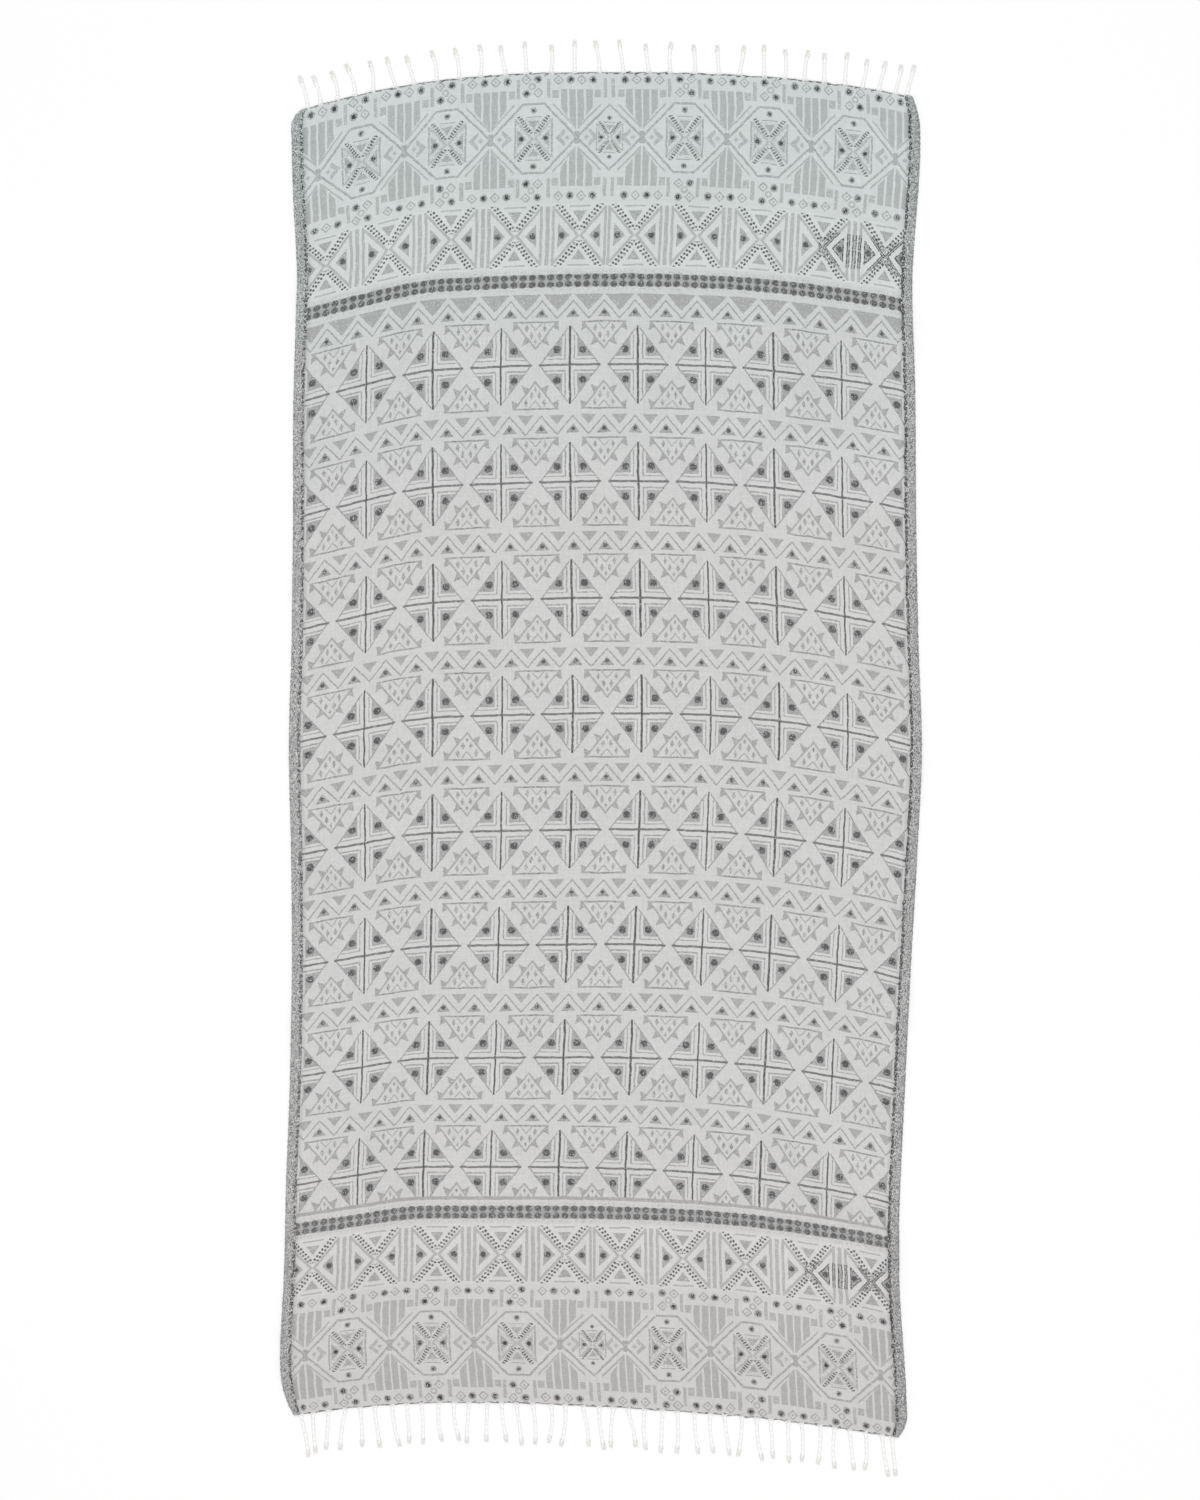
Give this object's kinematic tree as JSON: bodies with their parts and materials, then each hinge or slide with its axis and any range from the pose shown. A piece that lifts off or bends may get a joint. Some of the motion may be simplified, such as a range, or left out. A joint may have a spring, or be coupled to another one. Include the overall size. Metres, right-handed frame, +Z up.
{
  "type": "hammam towel",
  "caption": "Thin flat-woven cotton bath towel spread out flat, with folded side hems, a geometric woven pattern and a knotted twisted fringe on each end.",
  "frame": {"origin": "middle of the towel's footprint, on the surface that it lies on", "axes": "+Y along the towel's length, towards the end with the shorter fringe; +X across it; +Z up, out of the patterned face"},
  "size_m": [0.8548, 1.9166, 0.0058],
  "materials": {
    "woven_cotton": "matte woven cotton, off-white with grey and charcoal figures",
    "fringe_cotton": "matte twisted off-white cotton"
  },
  "bodies": {
    "root": {"towel_cloth": "woven_cotton", "fringe_top": "fringe_cotton", "fringe_bottom": "fringe_cotton"}
  },
  "joints": []
}
